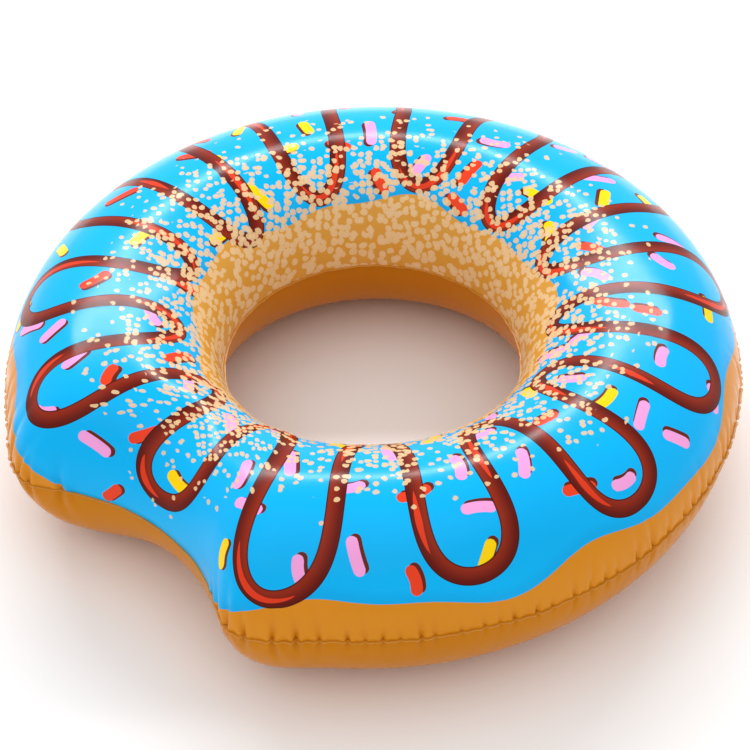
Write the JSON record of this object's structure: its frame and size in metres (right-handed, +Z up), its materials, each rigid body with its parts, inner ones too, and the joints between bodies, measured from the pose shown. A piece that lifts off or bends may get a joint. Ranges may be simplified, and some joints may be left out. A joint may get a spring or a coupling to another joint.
{
  "type": "inflatable swim ring",
  "caption": "Round inflatable swim ring shaped like an iced ring cake with a bite out of its rim, made of two welded films with a stoppered push-in air valve.",
  "frame": {"origin": "centre of the ring on the surface that it rests on, at the middle of the underside of its bounding box", "axes": "+Z up through the hole; +Y towards the air valve; the bite points between -X and -Y"},
  "size_m": [0.866, 0.8659, 0.2345],
  "materials": {
    "printed_film": "soft PVC film, gloss, printed in colours",
    "plain_film": "soft PVC film, gloss, one colour",
    "weld_edge": "pressed and trimmed weld, gloss",
    "valve_plastic": "soft moulded PVC, milky and slightly clear"
  },
  "bodies": {
    "ring": {"top_panel": "printed_film", "bottom_panel": "plain_film", "outer_weld_seam": "weld_edge", "inner_weld_seam": "weld_edge", "valve_flange": "valve_plastic", "valve_cuff": "valve_plastic"},
    "stem": {"valve_stem": "valve_plastic", "stopper_tether": "valve_plastic"},
    "stopper": {"valve_stopper": "valve_plastic"},
    "flap": {"check_flap": "valve_plastic"}
  },
  "joints": [
    {"name": "stem_push", "type": "slide", "parent": "ring", "child": "stem", "axis": [0, 0.7629, -0.6466], "range_m": [0, 0.014], "deforming": ["valve_cuff"]},
    {"name": "stopper_swing", "type": "hinge", "parent": "stem", "child": "stopper", "pos_m": [0, 0.40643, 0.05176], "axis": [1, 0, 0], "range_deg": [0, 140]},
    {"name": "flap_open", "type": "hinge", "parent": "stem", "child": "flap", "pos_m": [0, 0.38826, 0.06126], "axis": [-1, 0, 0], "range_deg": [0, 60], "stiffness_Nm_per_rad": 0.0001}
  ]
}
